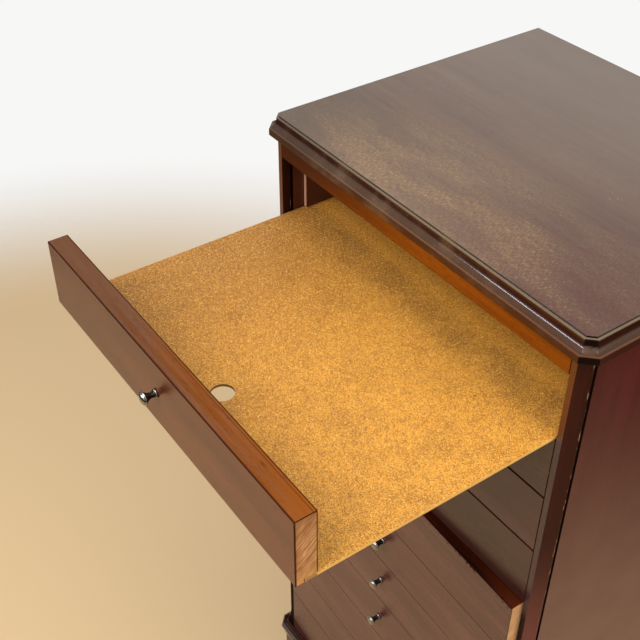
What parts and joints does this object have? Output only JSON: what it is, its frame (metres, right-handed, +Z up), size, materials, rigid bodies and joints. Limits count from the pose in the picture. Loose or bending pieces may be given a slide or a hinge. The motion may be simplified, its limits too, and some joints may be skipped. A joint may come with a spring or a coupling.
{
  "type": "sheet music cabinet",
  "caption": "Tall mahogany-stained cabinet with flat sliding music trays above a cupboard door scribed to look like drawers, on a moulded base with bracket feet.",
  "frame": {"origin": "on the floor, under the middle of the cabinet's box with its first tray drawn out as in the picture", "axes": "+Z up, -Y out of the front, +X to the right of someone facing the front"},
  "size_m": [0.463, 0.6412, 0.946],
  "materials": {
    "mahogany": "satin varnish over a red-brown stain",
    "plain_wood": "unfinished",
    "hardboard": "smooth side up, unfinished",
    "knob_metal": "antique grey plating, worn bright on the heads",
    "hinge_brass": "dull",
    "strike_steel": "plain",
    "brown_plastic": "moulded"
  },
  "bodies": {
    "case": {"top_board": "mahogany", "front_stile_left": "mahogany", "front_stile_right": "mahogany", "side_panel_left": "mahogany", "side_panel_right": "mahogany", "top_rail": "mahogany", "middle_rail": "mahogany", "bottom_board": "mahogany", "divider_board": "plain_wood", "back_panel": "plain_wood", "runner_left_1": "plain_wood", "runner_left_2": "plain_wood", "runner_left_3": "plain_wood", "runner_right_1": "plain_wood", "runner_right_2": "plain_wood", "runner_right_3": "plain_wood", "shelf_1": "plain_wood", "shelf_2": "plain_wood", "shelf_cleat_left_1": "plain_wood", "shelf_cleat_left_2": "plain_wood", "shelf_cleat_right_1": "plain_wood", "shelf_cleat_right_2": "plain_wood", "base_moulding_front": "mahogany", "base_moulding_left": "mahogany", "base_moulding_right": "mahogany", "plinth_front": "mahogany", "plinth_left": "mahogany", "plinth_right": "mahogany", "plinth_back": "mahogany", "hinge_leaf_case_lower": "hinge_brass", "hinge_leaf_case_upper": "hinge_brass", "hinge_pin_lower": "hinge_brass", "hinge_pin_upper": "hinge_brass", "catch_block": "brown_plastic"},
    "tray_1": {"tray_front_1": "mahogany", "tray_board_1": "hardboard", "tray_knob_1": "knob_metal"},
    "tray_2": {"tray_front_2": "mahogany", "tray_board_2": "hardboard", "tray_knob_2": "knob_metal"},
    "tray_3": {"tray_front_3": "mahogany", "tray_board_3": "hardboard", "tray_knob_3": "knob_metal"},
    "door": {"door_panel": "mahogany", "door_knob_1": "knob_metal", "door_knob_2": "knob_metal", "door_knob_3": "knob_metal", "door_knob_4": "knob_metal", "door_knob_5": "knob_metal", "door_knob_6": "knob_metal", "door_knob_7": "knob_metal", "hinge_leaf_door_lower": "hinge_brass", "hinge_leaf_door_upper": "hinge_brass", "strike_plate": "strike_steel"}
  },
  "joints": [
    {"name": "tray_1_slide", "type": "slide", "parent": "case", "child": "tray_1", "axis": [0, -1, 0], "range_m": [-0.2585, 0.0215]},
    {"name": "tray_2_slide", "type": "slide", "parent": "case", "child": "tray_2", "axis": [0, -1, 0], "range_m": [0, 0.28]},
    {"name": "tray_3_slide", "type": "slide", "parent": "case", "child": "tray_3", "axis": [0, -1, 0], "range_m": [0, 0.28]},
    {"name": "door_hinge", "type": "hinge", "parent": "case", "child": "door", "pos_m": [-0.2026, -0.05, 0.3578], "axis": [0, 0, -1], "range_deg": [-2, 100]}
  ]
}
